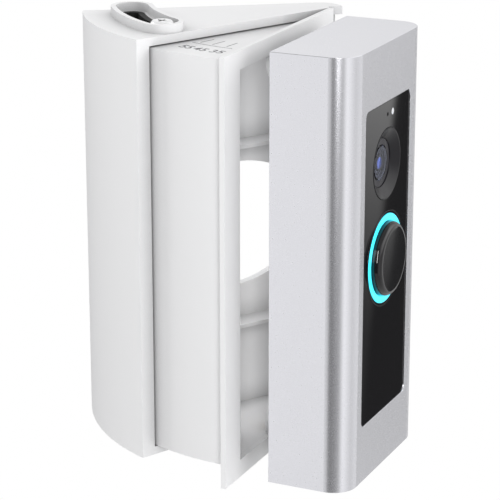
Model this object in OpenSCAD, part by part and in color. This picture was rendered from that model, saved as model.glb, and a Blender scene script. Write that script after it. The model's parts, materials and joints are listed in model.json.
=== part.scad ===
// Video doorbell on an adjustable-angle wedge mount.
// Row frame: wall plane at y = 0 with the object towards -Y, +Z up, origin midway between
// the two wall-screw holes on the wall face.  The mount hinges about a vertical pin.
// Rest position: mount opened to its widest angle, doorbell held a little in front of the
// mount on its two long screws, about to be drawn back onto the flange.

/* [Doorbell] */
// Width of the silver faceplate
bell_w = 49; // [47:0.5:52]
// Height of the silver faceplate
bell_h = 114; // [110:1:120]
// Depth from the back face to the silver front face
bell_d = 22; // [21:0.5:25]
// Radius of the two vertical front edges
edge_r = 6.5; // [5:0.5:7]
// Wall of the pressed faceplate
face_wall = 1.1; // [0.9:0.1:1.3]
// Width of the gloss black front panel
panel_w = 30; // [29:0.5:31]
// Height of the gloss black front panel
panel_h = 83; // [80:1:85]
// Diameter of the press button
button_d = 19.5; // [18:0.5:20]
// How far the button stands proud of the faceplate
button_proud = 2.3; // [1.5:0.1:3]
// Travel of the press button
button_travel = 0.6; // [0.3:0.1:0.8]
// Height of the button's centre above the middle of the doorbell
button_z = 0; // [-4:0.5:2]
// Height of the camera's centre above the middle of the doorbell
camera_z = 25.2; // [25:0.1:28]
// Diameter of the dished camera bezel
camera_d = 18.6; // [16:0.2:19]

/* [Mount] */
// Height of the mount
mount_h = 113.4; // [110:0.2:120]
// Wedge angle of the fixed outer wedge, and of the moving inner wedge
wedge_angle = 30; // [28:1:32]
// How far the inner wedge is swung out of the outer wedge in the rest position
swing_open = 25; // [0:1:25]
// Outer radius of the outer wedge about the hinge pin
outer_r = 63.9; // [63:0.1:66]
// Wall of the curved side of the outer wedge
arc_wall = 4; // [3:0.1:4.2]
// Thickness of the wall plate and of the outer wedge's lids
wall_t = 2.5; // [2.2:0.1:2.6]
// Distance from the wall to the hinge pin's axis
hinge_y = 6.2; // [6.1:0.1:6.6]
// Width of the flange plate that the doorbell seats on
flange_w = 68; // [67:0.5:70]
// Thickness of the flange plate
flange_t = 1.4; // [1.2:0.1:1.6]
// Gap between the flange and the back of the doorbell in the rest position
seat_gap = 7.7; // [0.3:0.1:12]
// Distance between the two wall-screw holes
wall_screw_pitch = 84; // [76:1:88]
// Diameter of the wall-screw holes
wall_screw_d = 4.2; // [3.8:0.1:4.6]

/* [Hidden] */
$fn = 96;
eps = 0.01;
fit = 0.05;                       // running clearance of a pin or thread in its bore
gap = 0.2;                        // clearance between neighbouring parts
end_step = 0.02;                  // step of a round end inside the sides that it closes

// mount
hinge_x = 31;                     // hinge axis from the wall screws
lid_t = 2.2;                      // lid and floor of the outer wedge
front_off = 2.4;                  // outer wedge's front plane ahead of the hinge axis
pin_r = 1.5;
flange_off = front_off + gap;     // back of the flange ahead of the hinge axis
flange_front = flange_off + flange_t;
inner_r = outer_r - arc_wall - 0.5;
inner_back = hinge_y - wall_t - 0.4;      // inner wedge's back plane behind the hinge axis
inner_wall = 1.6;
inner_skin = 2.2;                 // back wall of the inner wedge
inner_top = mount_h / 2 - lid_t - 0.4;    // top of the inner wedge
inner_lid = 2;
hinge_bar = 8.3;                  // solid bar of the inner wedge beside the pin
rib_deep = 6.5;
rib_t = 1;
rib_high = 23.7;                  // upper rib's top
rib_low = -26.7;                  // lower rib's top
flange_side = 8.9;                // flange border beside the opening
flange_end = 4.75;                // flange border above and below the opening
view_w = 36;                      // window in the inner wedge's back wall
view_h = 35;
view_x = -28;
view_round = 36;                  // radius of the window's arched ends
wall_win_w = 42;                  // window in the wall plate
wall_win_h = 48;
wall_win_x = -31;
win_round = 6;

// angle lock
lock_r = 51;                      // lock screw's distance from the hinge axis
full_swing = 25;
slot_end = 25.7;                  // slot's ends, as angles from the wall plane
slot_start = slot_end - full_swing - 0.1;
lock_back = wedge_angle + full_swing - slot_end;    // lock screw's angle behind the flange
slot_half = 1.75;
collar_half = 5.7;
collar_rim = 1.35;
collar_h = 2.3;
lock_shaft_r = 1.5;
lock_head_r = 2.95;
lock_head_h = 1.7;
washer_r = 3.7;
washer_t = 0.5;
nut_flats = 5.5;
nut_t = 2.4;
nut_top = lid_t + 0.4 + inner_lid;        // nut's top below the outer wedge's top
nut_r = nut_flats / sqrt(3);
nut_boss_r = 4.1;

// doorbell, in its own frame: x centred, back face at y = 0, front towards -Y, z centred
bell_x = flange_w / 2;            // doorbell's middle from the hinge axis, along the flange
inside = face_wall + 0.3;         // housing's distance inside the faceplate
core_w = bell_w - 2 * inside;
core_h = bell_h - 2 * inside;
core_front = bell_d - face_wall - 0.4;    // housing's front face
split = 10.5;                     // joint between the two housings
seal_t = 0.6;
shell = 1.5;                      // housing walls
panel_back = core_front - 0.55;
panel_front = bell_d - 0.25;
panel_round = 1.5;
ring_r = 11.7;                    // light ring
ring_in = button_d / 2 + 0.25;
trim_r = 12.5;                    // button trim
cap_back = 17;
cap_front = bell_d + button_proud;
cap_round = 1.8;
well_z = 1.3;                     // bottom of the switch's well above the board
ring_back = 17.5;
ring_front = panel_front + 0.2;
board_back = 10.9;
board_t = 1.2;
board_front = board_back + board_t;
board_w = 40;
board_h = 88;
ring_board_back = 15.2;
ring_board_t = 0.9;
barrel_r = 6.25;
glass_r = 4.65;
dish_rim = 0.3;                   // flat rim round the camera's dish
dish_deep = 1.7;
barrel_front = panel_front - dish_deep - 0.1;
glass_front = barrel_front + 0.25;
camera_back = 14.6;
mic_z = camera_z + 12.9;
sensor_x = 3.6;
screw_z = 49;                     // mounting screws, above and below the middle
screw_seat = 12.3;                // where a mounting screw's head bears
screw_r = 1.75;
screw_head_r = 3.2;
screw_head_h = 2;
insert_r = 2.9;                   // threaded inserts in the flange's ears
insert_l = 2.3;
ear_r = 4.4;
ear_t = insert_l + 0.1;
screw_tip = seat_gap + insert_l;  // screw tip behind the doorbell's back face
case_x = 19.2;                    // housing screws
case_z = 51.2;
case_post = 2.7;
case_shaft = 1;
case_head = 2.2;
term_z = -18;                     // wire terminals
term_w = 22;
term_h = 10;
term_pitch = 11;
speaker_z = -32;
speaker_r = 9;
lock_y = 6;                       // faceplate's security screw, ahead of the back face

// ---------- placing ----------

// Hinge frame: the hinge axis is the z axis and the wall runs along -X.
module at_hinge() {
    translate([hinge_x, -hinge_y, 0]) children();
}

// Frame of the swinging wedge, drawn closed with its back plane along the wall.
module swung() {
    at_hinge() rotate([0, 0, swing_open]) children();
}

// Frame of the flange: x along the flange, -Y out of its front.
module on_flange() {
    swung() rotate([0, 0, wedge_angle]) children();
}

// Frame of the doorbell.
module at_bell() {
    on_flange() translate([-bell_x, -flange_front - seat_gap, 0]) children();
}

// The lock screw's axis, at the height of the outer wedge's top.
module at_lock() {
    on_flange() rotate([0, 0, -lock_back]) translate([-lock_r, 0, mount_h / 2]) children();
}

// A cylinder along the doorbell's depth, from depth d0 to depth d1.
module depth_rod(r, d0, d1, x = 0, z = 0) {
    translate([x, -d0, z]) rotate([90, 0, 0]) cylinder(r = r, h = d1 - d0);
}

// A block centred on x and z, from depth d0 to depth d1.
module depth_block(w, h, d0, d1, x = 0, z = 0) {
    translate([x - w / 2, -d1, z - h / 2]) cube([w, d1 - d0, h]);
}

// The same block with its four corners rounded in the front view.
module round_block(w, h, r, d0, d1, x = 0, z = 0) {
    depth_block(w, h - 2 * r, d0, d1, x, z);
    depth_block(w - 2 * r, h, d0, d1, x, z);
    for (sx = [-1, 1], sz = [-1, 1]) depth_rod(r, d0, d1, x + sx * (w / 2 - r), z + sz * (h / 2 - r));
}

// A block whose two vertical front edges are rounded.
module wrapped_block(w, h, d, r) {
    translate([-w / 2, -(d - r), -h / 2]) cube([w, d - r, h]);
    translate([-w / 2 + r, -d, -h / 2]) cube([w - 2 * r, d, h]);
    for (s = [-1, 1]) translate([s * (w / 2 - r), -(d - r), -h / 2]) cylinder(r = r, h = h);
}

// ---------- wedge outlines ----------

// A wedge about the z axis: back plane along -X, front plane at the wedge angle.
module wedge(r, back, front, z0, z1) {
    reach = 2 * outer_r;
    foot = [front * sin(wedge_angle), -front * cos(wedge_angle)];
    tip = foot - reach * [cos(wedge_angle), sin(wedge_angle)];
    intersection() {
        translate([0, 0, z0]) cylinder(r = r, h = z1 - z0, $fn = 180);
        translate([0, 0, z0]) linear_extrude(z1 - z0)
            polygon([[0, back], [-reach, back], [tip.x, tip.y], [foot.x, foot.y]]);
    }
}

// An arc-shaped bar about the z axis with round ends; angles count from -X towards -Y.
module arc_bar(r, half, a0, a1, z0, z1) {
    reach = 2 * r;
    intersection() {
        translate([0, 0, z0]) difference() {
            cylinder(r = r + half, h = z1 - z0, $fn = 180);
            translate([0, 0, -1]) cylinder(r = r - half, h = z1 - z0 + 2, $fn = 180);
        }
        translate([0, 0, z0]) linear_extrude(z1 - z0)
            polygon([[0, 0], [-reach * cos(a0), -reach * sin(a0)], [-reach * cos(a1), -reach * sin(a1)]]);
    }
    for (a = [a0, a1])
        translate([-r * cos(a), -r * sin(a), z0]) cylinder(r = half - end_step, h = z1 - z0);
}

// ---------- wedge mount ----------

module outer_wedge() color("whitesmoke") at_hinge() {
    top = mount_h / 2;
    difference() {
        union() {
            wedge(outer_r, hinge_y, front_off, -top, top);
            translate([0, 0, -top]) hinge_barrel();
            difference() {
                arc_bar(lock_r, collar_half, slot_start, slot_end, top - eps, top + collar_h);
                arc_bar(lock_r, collar_half - collar_rim, slot_start, slot_end, top, top + collar_h + 1);
            }
        }
        // hollow, open at the front
        intersection() {
            translate([0, 0, lid_t - top])
                cylinder(r = outer_r - arc_wall, h = mount_h - 2 * lid_t, $fn = 180);
            translate([-2 * outer_r, -2 * outer_r, -top])
                cube([4 * outer_r, 2 * outer_r + hinge_y - wall_t, mount_h]);
        }
        arc_bar(lock_r, slot_half, slot_start, slot_end, top - lid_t - 1, top + 1);
        // window in the wall plate
        translate([wall_win_x, hinge_y + 1, 0])
            round_block(wall_win_w, wall_win_h, win_round, 0, wall_t + 2);
        // wall screws, countersunk from inside
        for (s = [-1, 1]) translate([-hinge_x, hinge_y, s * wall_screw_pitch / 2]) rotate([90, 0, 0]) {
            translate([0, 0, -1]) cylinder(d = wall_screw_d, h = wall_t + 2);
            translate([0, 0, wall_t - 1]) cylinder(d1 = wall_screw_d, d2 = wall_screw_d + 2.2, h = 1 + eps);
        }
        // hinge pin, blind at the top
        translate([0, 0, -top - 1]) cylinder(r = pin_r + 0.02, h = mount_h + 1 - 0.8);
    }
}

// Barrel round the pin: full behind it, and slim in front, where the flange swings past.
module hinge_barrel() {
    cylinder(r = front_off - end_step, h = mount_h);
    intersection() {
        cylinder(r = hinge_y, h = mount_h);
        translate([-hinge_y, 0, 0]) cube([2 * hinge_y, hinge_y, mount_h]);
    }
}

module hinge_pin() color("silver") at_hinge() {
    translate([0, 0, -mount_h / 2]) cylinder(r = pin_r, h = mount_h - 0.9);
}

module inner_wedge() color("white") {
    difference() {
        union() {
            swung() difference() {
                wedge(inner_r, inner_back, flange_off + eps, -inner_top, inner_top);
                inner_hollow();
            }
            swung() translate([0, 0, -inner_top]) cylinder(r = inner_back, h = 2 * inner_top);
            on_flange() flange();
            swung() ribs();
            at_lock() translate([0, 0, -nut_top - nut_t - 0.6]) cylinder(r = nut_boss_r, h = nut_t + 1);
        }
        // hinge pin
        at_hinge() translate([0, 0, -mount_h]) cylinder(r = pin_r + fit, h = 2 * mount_h);
        // window in the back wall
        swung() view_window();
        // lock screw and its captive nut
        at_lock() {
            translate([0, 0, -nut_top - nut_t - 1]) {
                cylinder(r = lock_shaft_r + gap, h = nut_top + nut_t + 2);
                cylinder(r = nut_r + gap, h = nut_t + 1, $fn = 6);
            }
        }
        // inserts for the mounting screws
        on_flange() for (s = [-1, 1]) translate([-bell_x, -flange_front - 1, s * screw_z]) rotate([-90, 0, 0])
            cylinder(r = insert_r, h = ear_t + 2);
    }
}

// Inside of the inner wedge, open through the flange.
module inner_hollow() {
    intersection() {
        translate([0, 0, -inner_top + inner_lid])
            cylinder(r = inner_r - inner_wall, h = 2 * (inner_top - inner_lid), $fn = 180);
        translate([-2 * outer_r, -2 * outer_r, -mount_h])
            cube([4 * outer_r, 2 * outer_r + inner_back - inner_skin, 2 * mount_h]);
        rotate([0, 0, wedge_angle]) translate([-2 * outer_r - hinge_bar, -2 * outer_r, -mount_h])
            cube([2 * outer_r, 4 * outer_r, 2 * mount_h]);
    }
}

// Rectangular flange with its opening, and an ear for each mounting screw.
module flange() {
    difference() {
        translate([-flange_w, -flange_front, -mount_h / 2]) cube([flange_w, flange_t, mount_h]);
        translate([-flange_w + flange_side, -flange_front - 1, -mount_h / 2 + flange_end])
            cube([flange_w - flange_side - hinge_bar, flange_t + 2, mount_h - 2 * flange_end]);
    }
    for (s = [-1, 1]) {
        translate([-bell_x, -flange_front, s * screw_z]) rotate([-90, 0, 0]) cylinder(r = ear_r, h = ear_t);
        translate([-bell_x - ear_r, -flange_front, s > 0 ? screw_z : -inner_top])
            cube([2 * ear_r, ear_t, inner_top - screw_z]);
    }
}

// Two stiffening ribs along the back wall.
module ribs() {
    for (z = [rib_high, rib_low]) intersection() {
        translate([0, 0, z - rib_t]) cylinder(r = inner_r - inner_wall / 2, h = rib_t, $fn = 180);
        translate([-2 * outer_r, inner_back - inner_skin - rib_deep, -mount_h])
            cube([2 * outer_r - hinge_bar, rib_deep + inner_skin / 2, 2 * mount_h]);
        wedge(inner_r, inner_back, flange_off, -mount_h, mount_h);
    }
}

// Window with arched ends through the inner wedge's back wall.
module view_window() {
    lift = view_h / 2 - view_round;
    intersection() {
        translate([view_x - view_w / 2, -1, -view_h / 2]) cube([view_w, inner_back + 2, view_h]);
        for (s = [-1, 1]) intersection_for (t = [-1, 1])
            translate([view_x, -1, t * lift]) rotate([-90, 0, 0])
                cylinder(r = view_round, h = inner_back + 2);
    }
}

module screw_inserts() color("goldenrod") on_flange() {
    for (s = [-1, 1]) translate([-bell_x, -flange_front + 0.1, s * screw_z]) rotate([-90, 0, 0])
        difference() {
            cylinder(r = insert_r - 0.02, h = insert_l - 0.1);
            translate([0, 0, -1]) cylinder(r = screw_r + fit, h = insert_l + 2);
        }
}

module lock_nut() color("silver") at_lock() translate([0, 0, -nut_top - nut_t]) {
    difference() {
        cylinder(r = nut_r, h = nut_t - 0.1, $fn = 6);
        translate([0, 0, -1]) cylinder(r = lock_shaft_r + fit, h = nut_t + 2);
    }
}

module lock_washer() color("black") at_lock() translate([0, 0, 0.1]) {
    difference() {
        cylinder(r = washer_r, h = washer_t);
        translate([0, 0, -1]) cylinder(r = lock_shaft_r + 0.15, h = washer_t + 2);
    }
}

module lock_screw() color("gainsboro") at_lock() {
    head_z = washer_t + 0.2;
    difference() {
        union() {
            translate([0, 0, -nut_top - nut_t - 1.5])
                cylinder(r = lock_shaft_r, h = nut_top + nut_t + 2 + head_z);
            translate([0, 0, head_z]) cylinder(r = lock_head_r, h = lock_head_h - 0.5);
            translate([0, 0, head_z + lock_head_h - 0.5])
                cylinder(r1 = lock_head_r, r2 = lock_head_r - 0.5, h = 0.5);
        }
        for (a = [0, 90]) rotate([0, 0, a + 20])
            translate([-1.5, -0.35, head_z + lock_head_h - 0.9]) cube([3, 0.7, 2]);
    }
}

// ---------- doorbell ----------

module faceplate() color("silver") at_bell() difference() {
    wrapped_block(bell_w, bell_h, bell_d, edge_r);
    translate([0, 1, 0]) wrapped_block(bell_w - 2 * face_wall, bell_h - 2 * face_wall, bell_d - face_wall + 1,
        edge_r - face_wall);
    round_block(panel_w + 2 * gap, panel_h + 2 * gap, panel_round + gap, bell_d - 5, bell_d + 1);
    translate([0, -lock_y, -bell_h / 2 - 1]) cylinder(r = 1.6, h = 3);
    for (x = [-2, -1, 0, 1, 2]) translate([x * 3 - 0.5, -16, -bell_h / 2 - 1]) cube([1, 4, 3]);
}

// Post of one housing screw; d0 to d1 is its depth.
module at_case_screws() {
    for (x = [-case_x, case_x], z = [-case_z, case_z]) translate([x, 0, z]) children();
}

module rear_housing() color("dimgray") at_bell() difference() {
    union() {
        difference() {
            round_block(core_w, core_h, 2, 0, split - seal_t / 2);
            round_block(core_w - 2 * shell, core_h - 2 * shell, 1, 1.8, split + 1);
        }
        at_case_screws() depth_rod(case_post, 0, split - seal_t / 2);
        for (s = [-1, 1]) depth_rod(3.6, 0, split - seal_t / 2, 0, s * screw_z);
        depth_block(term_w + 4, term_h + 4, 0, 7.6, 0, term_z);
        translate([-3, -lock_y - 3, -core_h / 2]) cube([6, 6, 5]);
    }
    at_case_screws() {
        depth_rod(case_head + gap, -1, 2);
        depth_rod(case_shaft + 0.3, -1, split + 1);
    }
    for (s = [-1, 1]) depth_rod(screw_r + 0.25, -1, split + 1, 0, s * screw_z);
    depth_block(term_w + 2 * gap, term_h + 2 * gap, -1, 6.2, 0, term_z);
    translate([0, -lock_y, -core_h / 2 - 1]) cylinder(r = 1.05, h = 5);
}

module front_housing() color("#222326") at_bell() difference() {
    union() {
        difference() {
            wrapped_block(core_w, core_h, core_front, edge_r - inside);
            translate([0, 1, 0]) wrapped_block(core_w - 2 * shell, core_h - 2 * shell, core_front - 1.8 + 1,
                edge_r - inside - shell);
        }
        at_case_screws() depth_rod(case_post, split + seal_t / 2, core_front - 1);
        for (s = [-1, 1]) depth_rod(5, split + seal_t / 2, core_front - 1, 0, s * screw_z);
        depth_rod(camera_d / 2 + 1.2, camera_back + 1, core_front - 1, 0, camera_z);
    }
    depth_block(bell_w, bell_h, -1, split + seal_t / 2);
    round_block(panel_w + gap, panel_h + gap, panel_round, panel_back - 0.05, bell_d);
    at_case_screws() depth_rod(case_shaft + fit, split, 18);
    for (s = [-1, 1]) {
        depth_rod(screw_r + 0.25, split, bell_d, 0, s * screw_z);
        depth_rod(screw_head_r + 0.3, screw_seat, bell_d, 0, s * screw_z);
    }
    depth_rod(barrel_r + 0.15, camera_back, bell_d, 0, camera_z);
    depth_rod(camera_d / 2 + gap, barrel_front - 1.5, bell_d, 0, camera_z);
    depth_rod(trim_r + 0.2, split, bell_d, 0, button_z);
    depth_rod(0.6, split, bell_d, 0, mic_z);
    depth_rod(1, split, bell_d, sensor_x, mic_z);
}

module housing_gasket() color("black") at_bell() difference() {
    depth_block(core_w - 0.8, core_h - 0.8, split - seal_t / 2 + fit, split + seal_t / 2 - fit);
    depth_block(core_w - 2.4, core_h - 2.4, split - 1, split + 1);
}

module housing_screws() color("silver") at_bell() at_case_screws() {
    depth_rod(case_shaft, 1, 17);
    difference() {
        depth_rod(case_head, 0.4, 2);
        depth_block(3, 0.6, 0, 1);
        depth_block(0.6, 3, 0, 1);
    }
}

module front_panel() color("#1d1c20") at_bell() difference() {
    round_block(panel_w, panel_h, panel_round, panel_back, panel_front);
    depth_rod(camera_d / 2 + gap / 2, 0, bell_d + 1, 0, camera_z);
    depth_rod(trim_r + 0.1, 0, bell_d + 1, 0, button_z);
    depth_rod(0.5, 0, bell_d + 1, 0, mic_z);
    depth_rod(0.95, 0, bell_d + 1, sensor_x, mic_z);
}

module camera_bezel() color("#26252a") at_bell() translate([0, 0, camera_z]) difference() {
    depth_rod(camera_d / 2, barrel_front - 1.4, panel_front + 0.1);
    depth_rod(barrel_r + 0.1, 0, bell_d);
    translate([0, -panel_front - 0.1 + dish_deep, 0]) rotate([90, 0, 0])
        cylinder(r1 = barrel_r + 0.1, r2 = camera_d / 2 - dish_rim, h = dish_deep + eps);
}

module lens_barrel() color("#101013") at_bell() translate([0, 0, camera_z]) difference() {
    depth_rod(barrel_r, camera_back, barrel_front);
    depth_rod(glass_r + 0.05, barrel_front - 0.8, bell_d);
    depth_rod(3.2, 0, bell_d);
}

module lens_glass() color("#20284a") at_bell() translate([0, 0, camera_z]) {
    depth_rod(glass_r, barrel_front - 0.75, glass_front);
    depth_rod(3.1, barrel_front - 3.5, barrel_front - 0.75);
}

module camera_module() color("darkgreen") at_bell() translate([0, 0, camera_z]) {
    depth_block(13, 13, board_front + 0.1, camera_back - 0.1);
    depth_rod(3, camera_back - 0.1, camera_back + 1.5);
}

module light_sensor() color("white") at_bell()
    depth_rod(0.85, 16, panel_front - 0.1, sensor_x, mic_z);

module microphone() color("gold") at_bell()
    depth_block(3.5, 2.6, board_front, board_front + 1.1, 0, mic_z);

module button_trim() color("black") at_bell() translate([0, 0, button_z]) difference() {
    depth_rod(trim_r, panel_back - 1.5, panel_front + 0.1);
    depth_rod(ring_r + 0.05, 0, bell_d + 2);
}

module light_ring() color("#35d4ee") at_bell() translate([0, 0, button_z]) difference() {
    depth_rod(ring_r, ring_back, ring_front);
    depth_rod(ring_in, 0, bell_d + 2);
}

module ring_board() color("darkgreen") at_bell() translate([0, 0, button_z]) difference() {
    depth_rod(12, ring_board_back, ring_board_back + ring_board_t);
    depth_rod(5, 0, bell_d);
}

module ring_leds() color("white") at_bell() translate([0, 0, button_z])
    for (k = [0 : 7]) rotate([0, 45 * k, 0]) translate([ring_r - 0.9, 0, 0])
        depth_block(1.6, 2, ring_board_back + ring_board_t, ring_board_back + ring_board_t + 0.8);

module button_cap() color("#0d0d0f") at_bell() translate([0, 0, button_z]) {
    depth_rod(button_d / 2, cap_back, cap_front - cap_round);
    depth_rod(button_d / 2 - cap_round, cap_front - cap_round, cap_front);
    translate([0, -cap_front + cap_round, 0]) rotate([90, 0, 0])
        rotate_extrude() translate([button_d / 2 - cap_round, 0]) circle(r = cap_round, $fn = 48);
    depth_rod(2.5, cap_back - 1.5, cap_back);
}

module switch_plunger() color("ivory") at_bell() translate([0, 0, button_z])
    depth_rod(1.6, board_front + well_z + button_travel + 0.4, cap_back - 1.5);

module button_switch() color("#333333") at_bell() translate([0, 0, button_z]) difference() {
    depth_block(6, 6, board_front, board_front + 2.6);
    depth_rod(1.7, board_front + well_z, bell_d);
}

module main_board() color("darkgreen") at_bell() difference() {
    depth_block(board_w, board_h, board_back, board_front);
    for (x = [-1, 1], z = [-1, 1]) depth_rod(1.2, 0, bell_d, x * (board_w / 2 - 3), z * (board_h / 2 - 3));
}

module shield_can() color("lightgray") at_bell()
    depth_block(24, 14, board_front, board_front + 1.8, 0, camera_z - 14.5);

module motion_sensor() color("#6b4a2f") at_bell()
    depth_block(12, 6, board_front, board_front + 2, 9.5, camera_z + 12);

module speaker() color("#444444") at_bell() translate([0, 0, speaker_z]) {
    depth_rod(speaker_r, board_front, board_front + 4);
    depth_rod(speaker_r - 2, board_front + 4, board_front + 4.8);
}

module backup_cell() color("steelblue") at_bell()
    translate([-14, -6.2, 2]) cylinder(r = 4, h = 24);

module wifi_antenna() color("goldenrod") at_bell()
    depth_block(16, 5, board_back - 2.2, board_back, 8, 40);

module terminal_block() color("#2c2c2e") at_bell() difference() {
    depth_block(term_w, term_h, 0.8, 6.1, 0, term_z);
    for (s = [-1, 1]) depth_rod(1.3, 0, 5.6, s * term_pitch / 2, term_z);
}

module terminal_screws() color("gold") at_bell()
    for (s = [-1, 1]) translate([s * term_pitch / 2, 0, term_z]) {
        depth_rod(1.25, 0.7, 5.2);
        difference() {
            depth_rod(3.4, -0.6, 0.7);
            depth_block(4, 0.8, -1, 0.1);
            depth_block(0.8, 4, -1, 0.1);
        }
    }

module mounting_screws() color("silver") at_bell()
    for (s = [-1, 1]) translate([0, 0, s * screw_z]) {
        depth_rod(screw_r, -screw_tip, screw_seat);
        difference() {
            depth_rod(screw_head_r, screw_seat, screw_seat + screw_head_h);
            depth_block(3.6, 0.8, screw_seat + 1, screw_seat + 3);
            depth_block(0.8, 3.6, screw_seat + 1, screw_seat + 3);
        }
    }

module security_screw() color("silver") at_bell() translate([0, -lock_y, -bell_h / 2]) {
    translate([0, 0, 0.3]) cylinder(r = 1.5, h = 0.9);
    cylinder(r = 1, h = 4.8);
}

outer_wedge();
hinge_pin();
inner_wedge();
screw_inserts();
lock_nut();
lock_washer();
lock_screw();
faceplate();
rear_housing();
front_housing();
housing_gasket();
housing_screws();
front_panel();
camera_bezel();
lens_barrel();
lens_glass();
camera_module();
light_sensor();
microphone();
button_trim();
light_ring();
ring_board();
ring_leds();
button_cap();
switch_plunger();
button_switch();
main_board();
shield_can();
motion_sensor();
speaker();
backup_cell();
wifi_antenna();
terminal_block();
terminal_screws();
mounting_screws();
security_screw();
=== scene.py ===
import json
import logging
import math
from dataclasses import dataclass
from enum import Enum
from typing import Sequence

import bmesh
import bpy
from mathutils import Matrix, Vector


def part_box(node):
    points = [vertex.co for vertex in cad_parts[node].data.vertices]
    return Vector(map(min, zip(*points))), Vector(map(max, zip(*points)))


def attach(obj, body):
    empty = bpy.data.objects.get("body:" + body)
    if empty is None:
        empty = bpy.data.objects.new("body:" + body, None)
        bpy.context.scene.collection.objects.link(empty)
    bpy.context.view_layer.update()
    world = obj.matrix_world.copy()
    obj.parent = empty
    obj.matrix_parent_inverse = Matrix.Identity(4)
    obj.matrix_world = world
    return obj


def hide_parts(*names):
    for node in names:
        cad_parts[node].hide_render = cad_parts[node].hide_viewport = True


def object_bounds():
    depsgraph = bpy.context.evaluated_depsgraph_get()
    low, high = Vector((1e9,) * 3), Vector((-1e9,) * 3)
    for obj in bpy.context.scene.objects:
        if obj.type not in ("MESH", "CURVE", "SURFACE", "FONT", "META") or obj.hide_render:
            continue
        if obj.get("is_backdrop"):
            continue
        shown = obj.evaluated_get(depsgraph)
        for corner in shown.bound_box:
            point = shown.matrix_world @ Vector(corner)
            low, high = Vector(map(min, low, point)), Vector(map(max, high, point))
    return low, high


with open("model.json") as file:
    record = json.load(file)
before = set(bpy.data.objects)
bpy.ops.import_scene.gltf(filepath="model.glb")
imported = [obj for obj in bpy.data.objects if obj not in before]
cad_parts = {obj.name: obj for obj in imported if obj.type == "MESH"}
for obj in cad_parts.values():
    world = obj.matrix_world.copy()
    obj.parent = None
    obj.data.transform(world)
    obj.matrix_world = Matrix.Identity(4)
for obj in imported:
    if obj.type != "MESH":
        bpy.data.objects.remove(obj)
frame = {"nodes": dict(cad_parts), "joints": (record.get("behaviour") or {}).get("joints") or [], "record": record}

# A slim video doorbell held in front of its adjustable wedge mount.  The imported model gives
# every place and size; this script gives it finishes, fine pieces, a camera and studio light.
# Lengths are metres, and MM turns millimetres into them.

Tree = bpy.types.NodeTree
Socket = bpy.types.NodeSocket

MM = 0.001
LOG = logging.getLogger("doorbell")
SHARP = math.radians(35)  # edges that turn by more than this stay crisp
ROUND_STEPS = 96  # facets round a turned piece
MIX_A = 6  # the colour inputs and output of Blender's mix node
MIX_B = 7
MIX_OUT = 2


# ---------- colour and shader helpers ----------


def linear(hex_colour: str) -> tuple[float, float, float, float]:
    """Turns an sRGB hex colour into linear RGBA.

    Args:
        hex_colour: Six hex digits, such as "e9e9ea".

    Returns:
        Red, green, blue and alpha, linear, from 0 to 1.
    """
    parts = [int(hex_colour[i : i + 2], 16) / 255 for i in (0, 2, 4)]
    red, green, blue = (p / 12.92 if p <= 0.04045 else ((p + 0.055) / 1.055) ** 2.4 for p in parts)
    return red, green, blue, 1.0


def add(
    tree: Tree,
    kind: str,
    values: dict | None = None,
    links: dict | None = None,
    **settings: object,
) -> bpy.types.Node:
    """Adds one node with its settings, constants and incoming links.

    Args:
        tree: The node tree that takes the node.
        kind: Blender's type name of the node.
        values: Constants by input name or number.
        links: Output sockets by the input name or number that they feed.
        **settings: The node's own properties.

    Returns:
        The new node.
    """
    node = tree.nodes.new(kind)
    for name, value in settings.items():
        setattr(node, name, value)
    for key, value in (values or {}).items():
        node.inputs[key].default_value = value
    for key, socket in (links or {}).items():
        tree.links.new(socket, node.inputs[key])
    return node


def set_stops(node: bpy.types.Node, stops: Sequence[tuple[float, float]]) -> None:
    """Sets a colour ramp to grey stops.

    Args:
        node: The colour ramp node.
        stops: Position and grey level of each stop, in order.
    """
    elements = node.color_ramp.elements
    for place, _ in stops[2:]:
        elements.new(place)
    for element, (place, level) in zip(elements, stops):
        element.position = place
        element.color = (level, level, level, 1.0)


# ---------- finishes ----------

SMOOTHEST = 0.01  # least roughness of any finish
CLOUD = 9.0  # millimetres from one soft patch of tone to the next
CLOUD_DETAIL = 2.0
GRAIN_DETAIL = 3.0
CORNER_SHADE_LEVEL = 0.5  # painted shade: tone at the very bottom of an inside corner
CORNER_OPENING = (0.35, 0.95)  # share of open sky where that painted shade starts and ends
CORNER_RAYS = 8
WAVE_TURN = 20 / math.tau  # Blender's wave texture repeats every tau / 20 at scale 1


class Tone(Enum):
    """How strongly a finish varies its colour over the surface."""

    EVEN = 0.006
    FAINT = 0.025
    CLEAR = 0.08


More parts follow.
